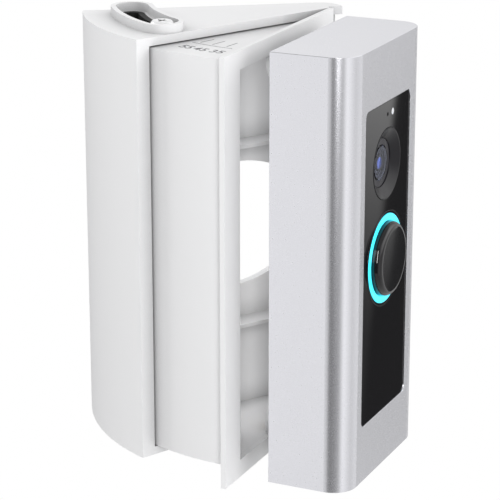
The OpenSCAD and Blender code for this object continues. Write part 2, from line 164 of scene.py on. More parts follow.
@dataclass(frozen=True)
class Finish:
    """A real surface: its colour, its shine and the texture that making it left.

    Attributes:
        name: The real finish, which names the material.
        colour: sRGB hex.
        roughness: Roughness of the shine.
        metallic: 1 for bare metal.
        ior: Refractive index; metals keep the default.
        grain: Size of the surface texture in millimetres.
        relief: Height of that texture in millimetres.
        tone: How strongly the colour varies.
        spread: How far the roughness varies with the texture.
        coat: Weight of a clear coat.
        glow: Strength of its own light; on a surface that is no lamp this is painted light.
        clear: How far light passes through.
        corner: Reach of the painted shade that darkens its inside corners, in millimetres.
    """

    name: str
    colour: str
    roughness: float
    metallic: float = 0.0
    ior: float = 1.5
    grain: float = 0.4
    relief: float = 0.004
    tone: Tone = Tone.FAINT
    spread: float = 0.05
    coat: float = 0.0
    glow: float = 0.0
    clear: float = 0.0
    corner: float = 0.0

    def material(self) -> bpy.types.Material:
        """Builds the material, once.

        Returns:
            The material, or the one already built.
        """
        made = bpy.data.materials.get(self.name)
        if made is not None and made.get("built"):
            return made
        made = bpy.data.materials.new(self.name)
        made["built"] = True
        made.use_nodes = True
        tree = made.node_tree
        tree.nodes.clear()
        place = add(tree, "ShaderNodeTexCoord").outputs["Object"]
        height = self.texture(tree, place)
        colour = self.paint(tree, place, height)
        low = max(self.roughness - self.spread, SMOOTHEST)
        high = self.roughness + self.spread
        shine = add(tree, "ShaderNodeMapRange", {"To Min": low, "To Max": high}, {"Value": height})
        bump = add(tree, "ShaderNodeBump", {"Distance": self.relief * MM}, {"Height": height})
        shader = add(
            tree,
            "ShaderNodeBsdfPrincipled",
            {
                "Metallic": self.metallic,
                "IOR": self.ior,
                "Coat Weight": self.coat,
                "Transmission Weight": self.clear,
                "Emission Strength": self.glow,
            },
            {
                "Base Color": colour,
                "Roughness": shine.outputs["Result"],
                "Normal": bump.outputs["Normal"],
            },
        )
        if self.glow:
            tree.links.new(colour, shader.inputs["Emission Color"])
        add(tree, "ShaderNodeOutputMaterial", None, {"Surface": shader.outputs["BSDF"]})
        return made

    def texture(self, tree: Tree, place: Socket) -> Socket:
        """Builds the height of the surface texture, from 0 to 1.

        Args:
            tree: The material's node tree.
            place: Position on the piece in metres.

        Returns:
            The height socket.
        """
        noise = add(
            tree,
            "ShaderNodeTexNoise",
            {"Scale": 1 / (self.grain * MM), "Detail": GRAIN_DETAIL},
            {"Vector": place},
        )
        return noise.outputs["Fac"]

    def paint(self, tree: Tree, place: Socket, height: Socket) -> Socket:
        """Builds the colour, which drifts softly between a darker and a lighter tone, with painted shade in inside
        corners where the finish has it.

        Args:
            tree: The material's node tree.
            place: Position on the piece in metres.
            height: The surface texture's height.

        Returns:
            The colour socket.
        """
        cloud = add(
            tree,
            "ShaderNodeTexNoise",
            {"Scale": 1 / (CLOUD * MM), "Detail": CLOUD_DETAIL},
            {"Vector": place},
        )
        parts = {0: cloud.outputs["Fac"], 1: height}
        drift = add(tree, "ShaderNodeMath", None, parts, operation="ADD")
        half = add(tree, "ShaderNodeMath", {1: 0.5}, {0: drift.outputs[0]}, operation="MULTIPLY")
        red_green_blue = linear(self.colour)[:3]
        low, high = (
            tuple(min(level * (1 + side * self.tone.value), 1.0) for level in red_green_blue) + (1.0,)
            for side in (-1, 1)
        )
        mix = add(
            tree,
            "ShaderNodeMix",
            {MIX_A: low, MIX_B: high},
            {0: half.outputs[0]},
            data_type="RGBA",
        )
        colour = mix.outputs[MIX_OUT]
        return self.shade_corners(tree, colour) if self.corner else colour

    def shade_corners(self, tree: Tree, colour: Socket) -> Socket:
        """Darkens the colour in inside corners, a stand-in for the soft shade that gathers there.

        Args:
            tree: The material's node tree.
            colour: The plain colour.

        Returns:
            The shaded colour's socket.
        """
        # Painted shade: occlusion darkens the colour in inside corners, as a shadow would.
        nook = add(
            tree,
            "ShaderNodeAmbientOcclusion",
            {"Distance": self.corner * MM},
            samples=CORNER_RAYS,
        )
        closed, opened = CORNER_OPENING
        open_sky = add(
            tree,
            "ShaderNodeMapRange",
            {"From Min": closed, "From Max": opened, "To Min": CORNER_SHADE_LEVEL, "To Max": 1.0},
            {"Value": nook.outputs["AO"]},
        )
        shaded = add(
            tree,
            "ShaderNodeMix",
            {0: 1.0},
            {MIX_A: colour, MIX_B: open_sky.outputs["Result"]},
            data_type="RGBA",
            blend_type="MULTIPLY",
        )
        return shaded.outputs[MIX_OUT]




@dataclass(frozen=True)
class Board(Finish):
    """Solder mask over copper: fine raised tracks run square to each other.

    Attributes:
        track: Distance between the tracks in millimetres.
        shoulder: Where the side of a track starts and ends, as shares of a cell.
    """

    track: float = 1.2
    shoulder: tuple[float, float] = (0.3, 0.36)

    def texture(self, tree: Tree, place: Socket) -> Socket:
        """Builds the tracks as thin walls between square cells.

        Args:
            tree: The material's node tree.
            place: Position on the piece in metres.

        Returns:
            The height socket.
        """
        cells = add(
            tree,
            "ShaderNodeTexVoronoi",
            {"Scale": 1 / (self.track * MM)},
            {"Vector": place},
            distance="CHEBYCHEV",
        )
        low, high = self.shoulder
        edge = add(
            tree,
            "ShaderNodeMapRange",
            {"From Min": low, "From Max": high},
            {"Value": cells.outputs["Distance"]},
        )
        return edge.outputs["Result"]


@dataclass(frozen=True)
class Turned(Finish):
    """Turned or drawn metal: fine rings lie across the vertical.

    Attributes:
        pitch: Distance between the rings in millimetres.
        waver: How unevenly they run.
        broken: Detail of the noise that breaks them.
    """

    pitch: float = 0.25
    waver: float = 1.5
    broken: float = 2.0

    def texture(self, tree: Tree, place: Socket) -> Socket:
        """Builds the tool marks as fine bands broken by noise.

        Args:
            tree: The material's node tree.
            place: Position on the piece in metres.

        Returns:
            The height socket.
        """
        bands = add(
            tree,
            "ShaderNodeTexWave",
            {
                "Scale": 1 / (self.pitch * MM) / WAVE_TURN,
                "Distortion": self.waver,
                "Detail": self.broken,
            },
            {"Vector": place},
            bands_direction="Z",
        )
        return bands.outputs["Fac"]


# Moulded ABS, spark-eroded tool: white and even, with a soft wide shine; its inside corners get painted shade.
WHITE_ABS = Finish(
    "moulded white ABS",
    "ebebec",
    0.42,
    ior=1.54,
    grain=0.35,
    relief=0.0025,
    tone=Tone.EVEN,
    corner=7.0,
)
# Bead-blasted, clear-anodised aluminium: a bright satin with a fine sparkle.  The real grit is
# about 0.1 mm and is drawn at 0.5 mm to show.
SATIN_SILVER = Finish(
    "satin anodised aluminium", "e6e6eb", 0.27, metallic=1.0, grain=0.5, relief=0.0008, spread=0.012
)
# Cast acrylic: deep black with a mirror shine.
BLACK_ACRYLIC = Finish(
    "gloss black acrylic",
    "0b0a0d",
    0.02,
    ior=1.49,
    grain=30.0,
    relief=0.002,
    tone=Tone.EVEN,
    spread=0.01,
)
# Satin ABS round the lens: black, and softer than the panel.
DISH_ABS = Finish("satin black ABS", "161519", 0.3, ior=1.35, grain=1.0, relief=0.0005)
# Polished ABS: deep black with a crisp highlight on its rim.
BUTTON_ABS = Finish(
    "polished black ABS cap", "0b0b0e", 0.07, ior=1.5, grain=0.8, relief=0.0003, spread=0.02
)
# Textured ABS of the housings: plain matte black.
HOUSING_ABS = Finish("textured black ABS", "232427", 0.5, ior=1.54, grain=0.6, relief=0.01)
# Opal polycarbonate lit from behind by cyan lamps.
LIT_RING = Finish(
    "lit cyan polycarbonate",
    "3fd6ee",
    0.25,
    ior=1.58,
    grain=6.0,
    relief=0.001,
    tone=Tone.CLEAR,
    glow=0.95,
)
# Coated optical glass: clear and very smooth.  The coat takes most of its shine, so its index is low.
LENS_GLASS = Finish(
    "coated lens glass",
    "e6ebff",
    0.02,
    ior=1.16,
    grain=4.0,
    relief=0.0002,
    tone=Tone.EVEN,
    spread=0.01,
    clear=1.0,
)
# The blue-violet antireflection coat on the small inner lens; its glow is a painted reflection, so the coat shines
# a little though it is no lamp.
LENS_COAT = Finish(
    "violet-coated glass",
    "3f63c4",
    0.12,
    metallic=0.6,
    grain=0.6,
    relief=0.0005,
    tone=Tone.CLEAR,
    coat=1.0,
    # painted reflection: the coat glows faintly blue
    glow=0.12,
)
# Grey ring round the lens: a little lighter than the dish.
BARREL_GREY = Finish("satin grey ABS", "2f2e33", 0.25, ior=1.4, grain=0.6, relief=0.0005)
# Blackened light trap behind the glass.
TRAP_BLACK = Finish("blackened aluminium", "09090b", 0.45, grain=0.3, relief=0.004)
# Bright zinc-plated steel of screws and pins.
STEEL = Turned("bright zinc-plated steel", "c9c9cc", 0.28, metallic=1.0, relief=0.004)
# White passivated screw head.
WHITE_ZINC = Finish("white-passivated steel", "f2f2f3", 0.3, metallic=0.35, grain=0.3, relief=0.002)
# Black oxide steel: soft and nearly matte.
BLACK_OXIDE = Finish("black-oxide steel", "101011", 0.45, metallic=0.6, grain=0.3, relief=0.004)
# Turned brass: warm yellow with tool rings.
BRASS = Turned("turned brass", "d6ae5c", 0.25, metallic=1.0, relief=0.004)
# Silicone seal: black and dull.
SILICONE = Finish("black silicone", "141414", 0.6, ior=1.41, grain=0.5, relief=0.01)
# Green solder mask on glass fibre.
SOLDER_MASK = Board("green solder mask", "12552f", 0.3, ior=1.55, relief=0.02, tone=Tone.CLEAR)
# Moulded silicone lens over each lamp.
LAMP_LENS = Finish("moulded silicone lens", "f4f2e2", 0.3, ior=1.41, grain=0.4, relief=0.003)
# Opal window of the light sensor.
OPAL = Finish("opal acrylic", "e4e6ea", 0.3, ior=1.49, grain=0.6, relief=0.003)
# Tinned sheet metal of cans.
TINPLATE = Finish(
    "tinned steel sheet", "c6c9ce", 0.3, metallic=1.0, grain=1.6, relief=0.01, tone=Tone.CLEAR
)
# Brown moulded sensor body.
SENSOR_BROWN = Finish("brown phenolic", "6b4a2f", 0.45, ior=1.55, grain=0.5, relief=0.01)
# Speaker frame and cone.
SPEAKER_BLACK = Finish("black pressed fibre", "303032", 0.6, grain=0.5, relief=0.03)
# Heat-shrunk sleeve round the cell.
CELL_SLEEVE = Finish("heat-shrunk PVC sleeve", "2f5f9c", 0.25, ior=1.53, grain=2.5, relief=0.01)
# Ivory nylon of the switch plunger.
NYLON = Finish("natural nylon", "e6dfc8", 0.4, ior=1.53, grain=0.5, relief=0.004)
# Grey pad-printing ink.
GREY_INK = Finish("grey pad-print ink", "6c6c70", 0.5, grain=0.2, relief=0.001)
# Studio floor, rolled on: white and dull.
FLOOR_PAINT = Finish("matt white paint", "f4f4f4", 0.8, grain=2.0, tone=Tone.EVEN)

SLOT_FINISH = {
    "white_abs": WHITE_ABS,
    "satin_silver": SATIN_SILVER,
    "black_gloss": BLACK_ACRYLIC,
    "black_bezel": DISH_ABS,
    "black_button": BUTTON_ABS,
    "black_housing": HOUSING_ABS,
    "cyan_ring": LIT_RING,
    "lens_glass": LENS_GLASS,
    "lens_black": BARREL_GREY,
    "steel": STEEL,
    "zinc_head": WHITE_ZINC,
    "black_washer": BLACK_OXIDE,
    "brass": BRASS,
    "rubber_seal": SILICONE,
    "circuit_board": SOLDER_MASK,
    "led_white": LAMP_LENS,
    "white_diffuser": OPAL,
    "tin_can": TINPLATE,
    "sensor_brown": SENSOR_BROWN,
    "speaker_black": SPEAKER_BLACK,
    "cell_sleeve": CELL_SLEEVE,
    "ivory_plastic": NYLON,
}


# ---------- places ----------


def joint(name: str) -> dict:
    """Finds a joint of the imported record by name."""
    return next(j for j in frame["joints"] if j["name"] == name)


def middle(node: str) -> Vector:
    """Gives the middle of a CAD node's box at rest."""
    low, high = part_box(node)
    return (low + high) / 2


def reach(node: str, axis: Vector) -> float:
    """Gives how far a CAD node reaches along an axis.

    Args:
        node: The CAD node.
        axis: Unit direction.

    Returns:
        The largest distance of its vertices along the axis, in metres.
    """
    return max(v.co.dot(axis) for v in frame["nodes"][node].data.vertices)


def mount_top() -> float:
    """Gives the height of the mount's flat top in metres: as far up as its foot is down."""
    return -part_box("outer_wedge")[0].z


def polar(radius: float, degrees: float) -> tuple[float, float]:
    """Gives a point about the hinge; angles count from the wall towards the room."""
    angle = math.radians(degrees)
    return -radius * math.cos(angle), -radius * math.sin(angle)


@dataclass(frozen=True)
class Place:
    """A point with three square directions, to build a piece on.

    Attributes:
        origin: The point, in metres.
        right: First direction across.
        up: Second direction across.
        out: Direction in which depth counts.
    """

    origin: Vector
    right: Vector
    up: Vector
    out: Vector

    def at(self, across: float, rise: float, depth: float) -> Vector:
        """Gives the point at these distances along the three directions, in metres."""
        return self.origin + self.right * across + self.up * rise + self.out * depth


def on_hinge(height: float) -> Place:
    """Gives the hinge axis at a height, with the row's own directions.

    Args:
        height: The height in metres.

    Returns:
        The frame there.
    """
    hinge = Vector(joint("wedge_swing")["pos_m"])
    hinge.z = height
    return Place(hinge, Vector((1, 0, 0)), Vector((0, 1, 0)), Vector((0, 0, 1)))


def in_front_of(node: str) -> Place:
    """Gives a frame that faces out of the doorbell.

    Args:
        node: The CAD node whose middle it passes through.

    Returns:
        The frame, with depth 0 at the front of the node.
    """
    out = Vector(joint("doorbell_seat")["axis"])
    centre = middle(node)
    centre += out * (reach(node, out) - centre.dot(out))
    return Place(centre, Vector((-out.y, out.x, 0)), Vector((0, 0, 1)), out)


# ---------- mesh helpers ----------

SEAM_GAP = 0.0005  # millimetres that two corners may stand apart and still be one
FLAT = math.radians(0.4)  # faces that turn by less than this are one face


def finish_mesh(
    mesh: bmesh.types.BMesh,
    name: str,
    finish: Finish,
    body: str,
    smooth: bool = True,
) -> bpy.types.Object:
    """Turns a bmesh into a piece of the object.

    Args:
        mesh: The geometry in the row frame, which is freed.
        name: The piece's name.
        finish: The piece's finish.
        body: The body that it rides on.
        smooth: Whether its faces shade smoothly.

    Returns:
        The new piece.
    """
    bmesh.ops.recalc_face_normals(mesh, faces=mesh.faces)
    for face in mesh.faces:
        face.smooth = smooth
    for edge in mesh.edges:
        if len(edge.link_faces) == 2 and edge.calc_face_angle(0) > SHARP:
            edge.smooth = False
    data = bpy.data.meshes.new(name)
    mesh.to_mesh(data)
    mesh.free()
    piece = bpy.data.objects.new(name, data)
    bpy.context.scene.collection.objects.link(piece)
    data.materials.append(finish.material())
    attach(piece, body)
    LOG.info("piece %s rides on %s", name, body)
    return piece


def lathe(
    place: Place, profile: Sequence[tuple[float, float]], steps: int = ROUND_STEPS
) -> bmesh.types.BMesh:
    """Turns a profile round a place's outward axis.

    Args:
        place: Centre and axis.
        profile: Radius and depth of each point, in millimetres; a radius of 0 closes an end.
        steps: Facets round the axis.

    Returns:
        The turned surface.
    """
    mesh = bmesh.new()
    rings = []
    for radius, depth in profile:
        if radius == 0:
            rings.append([mesh.verts.new(place.at(0, 0, depth * MM))])
            continue
        ring = []
        for k in range(steps):
            angle = math.tau * k / steps
            across, rise = radius * MM * math.cos(angle), radius * MM * math.sin(angle)
            ring.append(mesh.verts.new(place.at(across, rise, depth * MM)))
        rings.append(ring)
    for inner, outer in zip(rings, rings[1:]):
        for k in range(steps):
            corners = [inner[k % len(inner)], inner[(k + 1) % len(inner)]]
            corners += [outer[(k + 1) % len(outer)], outer[k % len(outer)]]
            unique = list(dict.fromkeys(corners))
            if len(unique) > 2:
                mesh.faces.new(unique)
    return mesh


def plate(
    place: Place, outlines: Sequence[Sequence[tuple[float, float]]], thick: float
) -> bmesh.types.BMesh:
    """Builds flat plates from outlines.

    Args:
        place: Frame of the plates; depth 0 is their underside.
        outlines: Points of each outline in millimetres, counter-clockwise.
        thick: Thickness in millimetres.

    Returns:
        The plates.
    """
    mesh = bmesh.new()
    for outline in outlines:
        low = [mesh.verts.new(place.at(x * MM, y * MM, 0)) for x, y in outline]
        high = [mesh.verts.new(place.at(x * MM, y * MM, thick * MM)) for x, y in outline]
        mesh.faces.new(high)
        mesh.faces.new(low[::-1])
        for k in range(len(outline)):
            after = (k + 1) % len(outline)
            mesh.faces.new([low[k], low[after], high[after], high[k]])
    return mesh


def soften(node: str, width: float, steps: int = 2) -> None:
    """Rounds the edges of a CAD node with modifiers, so that they catch the light.

    Args:
        node: The CAD node.
        width: Width of the rounding in millimetres.
        steps: Facets across it.
    """
    piece = frame["nodes"][node]
    weld = piece.modifiers.new("weld", "WELD")
    weld.merge_threshold = SEAM_GAP * MM
    flat = piece.modifiers.new("flat faces", "DECIMATE")
    flat.decimate_type = "DISSOLVE"
    flat.angle_limit = FLAT
    bevel = piece.modifiers.new("soft edges", "BEVEL")
    bevel.width = width * MM
    bevel.segments = steps
    bevel.limit_method = "ANGLE"
    bevel.angle_limit = SHARP
    bevel.harden_normals = True
    normals = piece.modifiers.new("even shading", "WEIGHTED_NORMAL")
    normals.keep_sharp = True


# ---------- sub-assemblies ----------


@dataclass
class PackedParts:
    """The CAD nodes as packed: each takes its finish, and the ones in sight get soft edges.

    Attributes:
        edges: Width of the soft edge by node, in millimetres.
    """

    edges: dict[str, float]

    def dress(self) -> None:
        """Gives every node the finish of its slot in the record."""
        for part in frame["record"]["subparts"]:
            piece = frame["nodes"][part["node"]]
            material = SLOT_FINISH[part["material_slot"]].material()
            for place in piece.material_slots:
                place.material = material
            LOG.info("node %s is %s", part["node"], material.name)

    def build(self) -> None:
        """Rounds the edges in sight."""
        for node, width in self.edges.items():
            soften(node, width)


@dataclass
class CameraEye:
    """The lens in the dished bezel: a flat front glass, a black light trap and a coated inner lens.

    Sizes are in millimetres.

    Attributes:
        glass_radius: Radius of the front glass.
        glass_edge: Width of the ground bevel round it.
        glass_thick: Thickness of the glass.
        trap_deep: Depth of the light trap behind the glass.
        trap_rim: How far the trap's first step stays inside the glass.
        trap_steps: Steps of the trap.
        gap: Clearance between neighbouring pieces.
        inner_radius: Radius of the coated inner lens.
        inner_deep: Depth of that lens behind the front of the glass.
        inner_rise: Height of its dome.
        inner_steps: Facets from its edge to its middle.
        stem: Length of the stem behind it.
        collar: Width of the polished collar round the inner lens.
    """

    glass_radius: float = 4.6
    glass_edge: float = 0.25
    glass_thick: float = 0.45
    trap_deep: float = 1.5
    trap_rim: float = 0.3
    trap_steps: int = 4
    gap: float = 0.05
    inner_radius: float = 1.5
    inner_deep: float = 0.62
    inner_rise: float = 0.12
    inner_steps: int = 10
    stem: float = 1.0
    collar: float = 0.5

    def build(self) -> None:
        """Builds the glass, the light trap and the inner lens."""
        place = in_front_of("lens_glass")
        radius, edge, thick = self.glass_radius, self.glass_edge, self.glass_thick
        sheet = [(0, 0), (radius - edge, 0), (radius, -edge), (radius, -thick), (0, -thick)]
        glass = finish_mesh(lathe(place, sheet), "front_glass", LENS_GLASS, "doorbell")
        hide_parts("lens_glass")
        finish_mesh(lathe(place, self.trap()), "light_trap", TRAP_BLACK, "doorbell")
        finish_mesh(lathe(place, self.inner()), "inner_lens", LENS_COAT, "doorbell")

    def trap(self) -> list[tuple[float, float]]:
        """Works out the stepped cone of the light trap.

        Returns:
            Its profile from the glass to the inner lens: radius and depth of each point.
        """
        wide = self.glass_radius - self.trap_rim
        narrow = self.inner_radius + self.collar
        top = -self.glass_thick - self.gap
        profile = [(self.glass_radius - self.gap, top)]
        for k in range(self.trap_steps + 1):
            radius = wide + (narrow - wide) * k / self.trap_steps
            profile.append((radius, top - self.trap_deep * max(k - 0.5, 0) / self.trap_steps))
            profile.append((radius, top - self.trap_deep * k / self.trap_steps))
        return profile + [(narrow, -self.inner_deep), (self.inner_radius, -self.inner_deep)]

    def inner(self) -> list[tuple[float, float]]:
        """Works out the inner lens: a shallow dome on a short stem.

        Returns:
            Its profile: radius and depth of each point.
        """
        rim = -self.inner_deep - self.gap
        foot = rim - self.stem
        angles = (math.pi / 2 * k / self.inner_steps for k in range(self.inner_steps))
        dome = [(self.inner_radius * math.cos(a), rim + self.inner_rise * math.sin(a)) for a in angles]
        return [(0, foot), (self.inner_radius, foot)] + dome + [(0, rim + self.inner_rise)]


@dataclass
class PressButton:
    """The button's cap: a shallow dome with a rounded rim, standing in the lit ring.

    Sizes are in millimetres.

    Attributes:
        rise: How far the middle of the dome stands above its edge.
        rounding: Radius of the rim's rounding.
        margin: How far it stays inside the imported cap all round.
        steps: Facets of the rounding, and of the dome from its edge to its middle.
    """

    rise: float = 0.05
    rounding: float = 1.6
    margin: float = 0.005
    steps: int = 14

    def build(self) -> None:
        """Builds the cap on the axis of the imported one, which it replaces."""
        place = in_front_of("button_cap")
        radius = (reach("button_cap", place.up) - place.origin.z) / MM - self.margin
        deep = (reach("button_cap", place.out) + reach("button_cap", -place.out)) / MM
        flat = radius - self.rounding
        slope = 2 * self.rise / flat
        side = -self.rise - self.rounding
        angles = ((math.pi / 2 - slope) * k / self.steps for k in range(self.steps + 1))
        rim = [(flat + self.rounding * math.cos(a), side + self.rounding * math.sin(a)) for a in angles]
        edge, top = rim[-1]
        shares = [k / self.steps for k in range(self.steps - 1, -1, -1)]
        dome = [(edge * share, top * share**2) for share in shares]
        profile = [(0, -deep), (radius, -deep)] + rim + dome
        cap = finish_mesh(lathe(place, profile), "domed_cap", BUTTON_ABS, "button")
        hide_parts("button_cap")


@dataclass
class AngleScale:
    """The printed scale on top of the swinging wedge: ticks, numerals and a thin arc.

    Sizes are in millimetres, and angles in degrees from the wall.

    Attributes:
        below_top: Height of the printed face below the top of the mount.
        tick_from: Radius of the ticks' inner ends about the hinge.
        tick_to: Radius of their outer ends.
        tick_half: Half the width of a tick.
        arc_from: Distance from the ticks to the arc's inner side.
        arc_to: Distance from the ticks to its outer side.
        arc_past: How far the arc runs past the first and the last mark.
        arc_steps: Facets along the arc.
        marks: Angle and numeral of each mark.
        label_radius: Radius of the numerals' middles.
        label_lead: Angle from a mark to its numeral.
        text_size: Height of the numerals.
        text_share: Share of the font's size that a numeral's height takes.
        text_bold: How far the numerals' strokes are widened.
        ink: Thickness of the print.
    """

    below_top: float = 2.6
    tick_from: float = 41.0
    tick_to: float = 46.0
    tick_half: float = 0.12
    arc_from: float = 1.2
    arc_to: float = 1.4
    arc_past: tuple[float, float] = (2.0, 3.0)
    arc_steps: int = 24
    marks: tuple[tuple[float, str], ...] = ((36.8, "55"), (41.9, "45"), (47.4, "35"))
    label_radius: float = 52.3
    label_lead: float = 1.4
    text_size: float = 2.9
    text_share: float = 0.7
    text_bold: float = 0.02
    ink: float = 0.03

    def build(self) -> None:
        """Builds the ticks, the arc and the numerals."""
        place = on_hinge(mount_top() - self.below_top * MM)
        ticks = [self.tick(degrees) for degrees, _ in self.marks]
        for name, outlines in (("scale_ticks", ticks), ("scale_arc", self.arc())):
            print_layer = plate(place, outlines, self.ink)
            finish_mesh(print_layer, name, GREY_INK, "swing_wedge", smooth=False)
        for degrees, numeral in self.marks:
            self.label(place, degrees + self.label_lead, numeral)

    def tick(self, degrees: float) -> list[tuple[float, float]]:
        """Works out one tick, which lies along a radius.

        Args:
            degrees: Its angle from the wall.

        Returns:
            Its outline in millimetres from the hinge.
        """
        (x0, y0), (x1, y1) = polar(self.tick_from, degrees), polar(self.tick_to, degrees)
        angle = math.radians(degrees)
        dx, dy = self.tick_half * math.sin(angle), -self.tick_half * math.cos(angle)
        return [(x0 + dx, y0 + dy), (x0 - dx, y0 - dy), (x1 - dx, y1 - dy), (x1 + dx, y1 + dy)]

    def arc(self) -> list[list[tuple[float, float]]]:
        """Works out the thin arc past the ticks.

        Returns:
            The outlines of the short plates that make it.
        """
        before, after = self.arc_past
        first, last = self.marks[0][0] - before, self.marks[-1][0] + after
        inner, outer = self.tick_to + self.arc_from, self.tick_to + self.arc_to
        angles = [first + (last - first) * k / self.arc_steps for k in range(self.arc_steps + 1)]
        return [
            [polar(inner, end), polar(inner, start), polar(outer, start), polar(outer, end)]
            for start, end in zip(angles, angles[1:])
        ]

    def label(self, place: Place, degrees: float, numeral: str) -> None:
        """Builds one numeral, which reads from outside the arc.

        Args:
            place: The hinge frame at the printed face.
            degrees: The numeral's angle from the wall.
            numeral: The digits.
        """
        curve = bpy.data.curves.new(f"scale_{numeral}", "FONT")
        curve.body = numeral
        curve.size = self.text_size * MM / self.text_share
        curve.align_x = "CENTER"
        curve.align_y = "CENTER"
        curve.extrude = self.ink * MM / 2
        curve.offset = self.text_bold * MM
        piece = bpy.data.objects.new(f"scale_{numeral}", curve)
        bpy.context.scene.collection.objects.link(piece)
        x, y = polar(self.label_radius, degrees)
        turn = Matrix.Rotation(math.radians(degrees - 90), 4, "Z")
        piece.matrix_world = Matrix.Translation(place.at(x * MM, y * MM, self.ink * MM / 2)) @ turn
        curve.materials.append(GREY_INK.material())
        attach(piece, "swing_wedge")
        LOG.info("piece %s rides on swing_wedge", piece.name)


@dataclass
class LockRecessShade:
    """The dark floor of the cross recess in the lock screw's head: painted shade, a black plate where the recess
    holds only shade.

    Sizes are in millimetres.

    Attributes:
        arm: Half the length of the recess.
        half_width: Half the width of its arms.
        below_top: Depth of the floor's underside in the head.
        thick: Thickness of the floor, which all but fills the recess.
        turn: Angle of the recess in degrees.
    """

    arm: float = 1.48
    half_width: float = 0.34
    below_top: float = 0.64
    thick: float = 0.6
    turn: float = 20.0

    def build(self) -> None:
        """Builds the recess's floor as a cross."""
        centre = middle("lock_screw")
        centre.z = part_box("lock_screw")[1].z - self.below_top * MM
        angle = math.radians(self.turn)
        right = Vector((math.cos(angle), math.sin(angle), 0))
        place = Place(centre, right, Vector((-right.y, right.x, 0)), Vector((0, 0, 1)))
        a, w = self.arm, self.half_width
        cross = [(w, w), (w, a), (-w, a), (-w, w), (-a, w), (-a, -w)]
        cross += [(-w, -w), (-w, -a), (w, -a), (w, -w), (a, -w), (a, w)]
        floor = plate(place, [cross], self.thick)
        finish_mesh(floor, "recess_floor", BLACK_OXIDE, "lock_head", smooth=False)


@dataclass
class SlotShadeLiner:
    """A black liner in the lock screw's curved slot, painted shade for the dark pocket below: a thin lip on the
    pocket's floor and a skirt.

    Sizes are in millimetres.

    Attributes:
        lip: Half the width of the lip.
        bore: Half the width inside the skirt.
        skirt: Thickness of the skirt.
        lip_thick: Thickness of the lip, which the washer slides over.
        deep: Depth of the skirt.
        path_steps: Facets along each side of the slot.
        end_steps: Facets round each of its ends.
    """

    lip: float = 3.3
    bore: float = 1.66
    skirt: float = 0.08
    lip_thick: float = 0.06
    deep: float = 2.15
    path_steps: int = 24
    end_steps: int = 12

    def build(self) -> None:
        """Builds the liner along the lock screw's path about the hinge."""
        place = on_hinge(mount_top())
        screw = Vector(joint("lock_turn")["pos_m"]) - place.origin
        radius = math.hypot(screw.x, screw.y) / MM
        end = math.degrees(math.atan2(-screw.y, -screw.x))
        start = end + joint("wedge_swing")["range_deg"][0]
        shell = self.bore + self.skirt
        section = [
            (self.lip, self.lip_thick),
            (self.bore, self.lip_thick),
            (self.bore, -self.deep),
            (shell, -self.deep),
            (shell, 0.0),
            (self.lip, 0.0),
        ]
        mesh = bmesh.new()
        rings = []
        for half, height in section:
            outline = self.slot(radius, start, end, half)
            rings.append([mesh.verts.new(place.at(x * MM, y * MM, height * MM)) for x, y in outline])
        for ring, after in zip(rings, rings[1:] + rings[:1]):
            for k in range(len(ring)):
                turn = (k + 1) % len(ring)
                mesh.faces.new([ring[k], ring[turn], after[turn], after[k]])
        finish_mesh(mesh, "slot_liner", SILICONE, "fixed_wedge")

    def slot(self, radius: float, start: float, end: float, half: float) -> list[tuple[float, float]]:
        """Gives the outline of a round-ended slot about the hinge.

        Args:
            radius: Radius of its middle line in millimetres.
            start: Angle of its first end from the wall, in degrees.
            end: Angle of its last end.
            half: Half its width in millimetres.

        Returns:
            Its points in millimetres from the hinge.
        """
        points = []
        for side, first, last in ((1, start, end), (-1, end, start)):
            for k in range(self.path_steps + 1):
                degrees = first + (last - first) * k / self.path_steps
                points.append(polar(radius + side * half, degrees))
            angle = math.radians(last)
            for k in range(1, self.end_steps):
                swing = math.pi * k / self.end_steps
                along, across = side * half * math.sin(swing), side * half * math.cos(swing)
                x, y = polar(radius + across, last)
                points.append((x + along * math.sin(angle), y - along * math.cos(angle)))
        return points


@dataclass(frozen=True)
class Softbox:
    """One rectangular area light.

    Attributes:
        name: What it is for.
        place: Its middle, in metres.
        width: Its width in metres.
        height: Its height in metres.
        power: Its power in watts.
        aim: The point that it faces.
    """

    name: str
    place: tuple[float, float, float]
    width: float
    height: float
    power: float
    aim: tuple[float, float, float] = (0.0, 0.0, 0.0)

    def build(self) -> None:
        """Adds the light."""
        data = bpy.data.lights.new(self.name, "AREA")
        data.shape = "RECTANGLE"
        data.size = self.width
        data.size_y = self.height
        data.energy = self.power
        light = bpy.data.objects.new(self.name, data)
        bpy.context.scene.collection.objects.link(light)
        light.location = self.place
        light.visible_camera = False
        sight = Vector(self.aim) - Vector(self.place)
        light.rotation_euler = sight.to_track_quat("-Z", "Y").to_euler()


SOFTBOXES = (
    Softbox("front strip", (-0.1, -0.72, 0.21), 0.13, 0.45, 2.9),
    Softbox("edge softbox", (-0.66, 0.36, 0.34), 0.4, 0.4, 3.4),
    Softbox("bay light", (-0.01, -0.035, 0.002), 0.01, 0.09, 0.0105, (0.014, -0.003, 0.002)),
)

# Brightness of the studio walls by compass angle in degrees: 0 is +X, -90 is the front.
WALLS = (
    (-180, 0.4),
    (-160, 0.92),
    (-142, 1.05),
    (-126, 0.1),
    (-110, 0.12),
    (-95, 0.2),
    (-80, 0.38),
    (-62, 1.12),
    (-40, 0.88),
    (-18, 0.68),
    (5, 0.8),
    (38, 0.86),
    (75, 0.3),
    (110, 0.3),
    (145, 0.3),
)
# The same above head height: a tall softbox stands on the right, and the back wall is lit.
UPPER_WALLS = ((-180, 0.1), (-90, 0.1), (-30, 2.4), (10, 2.4), (45, 0.6), (90, 1.15), (135, 0.3))
CEILING = 0.65


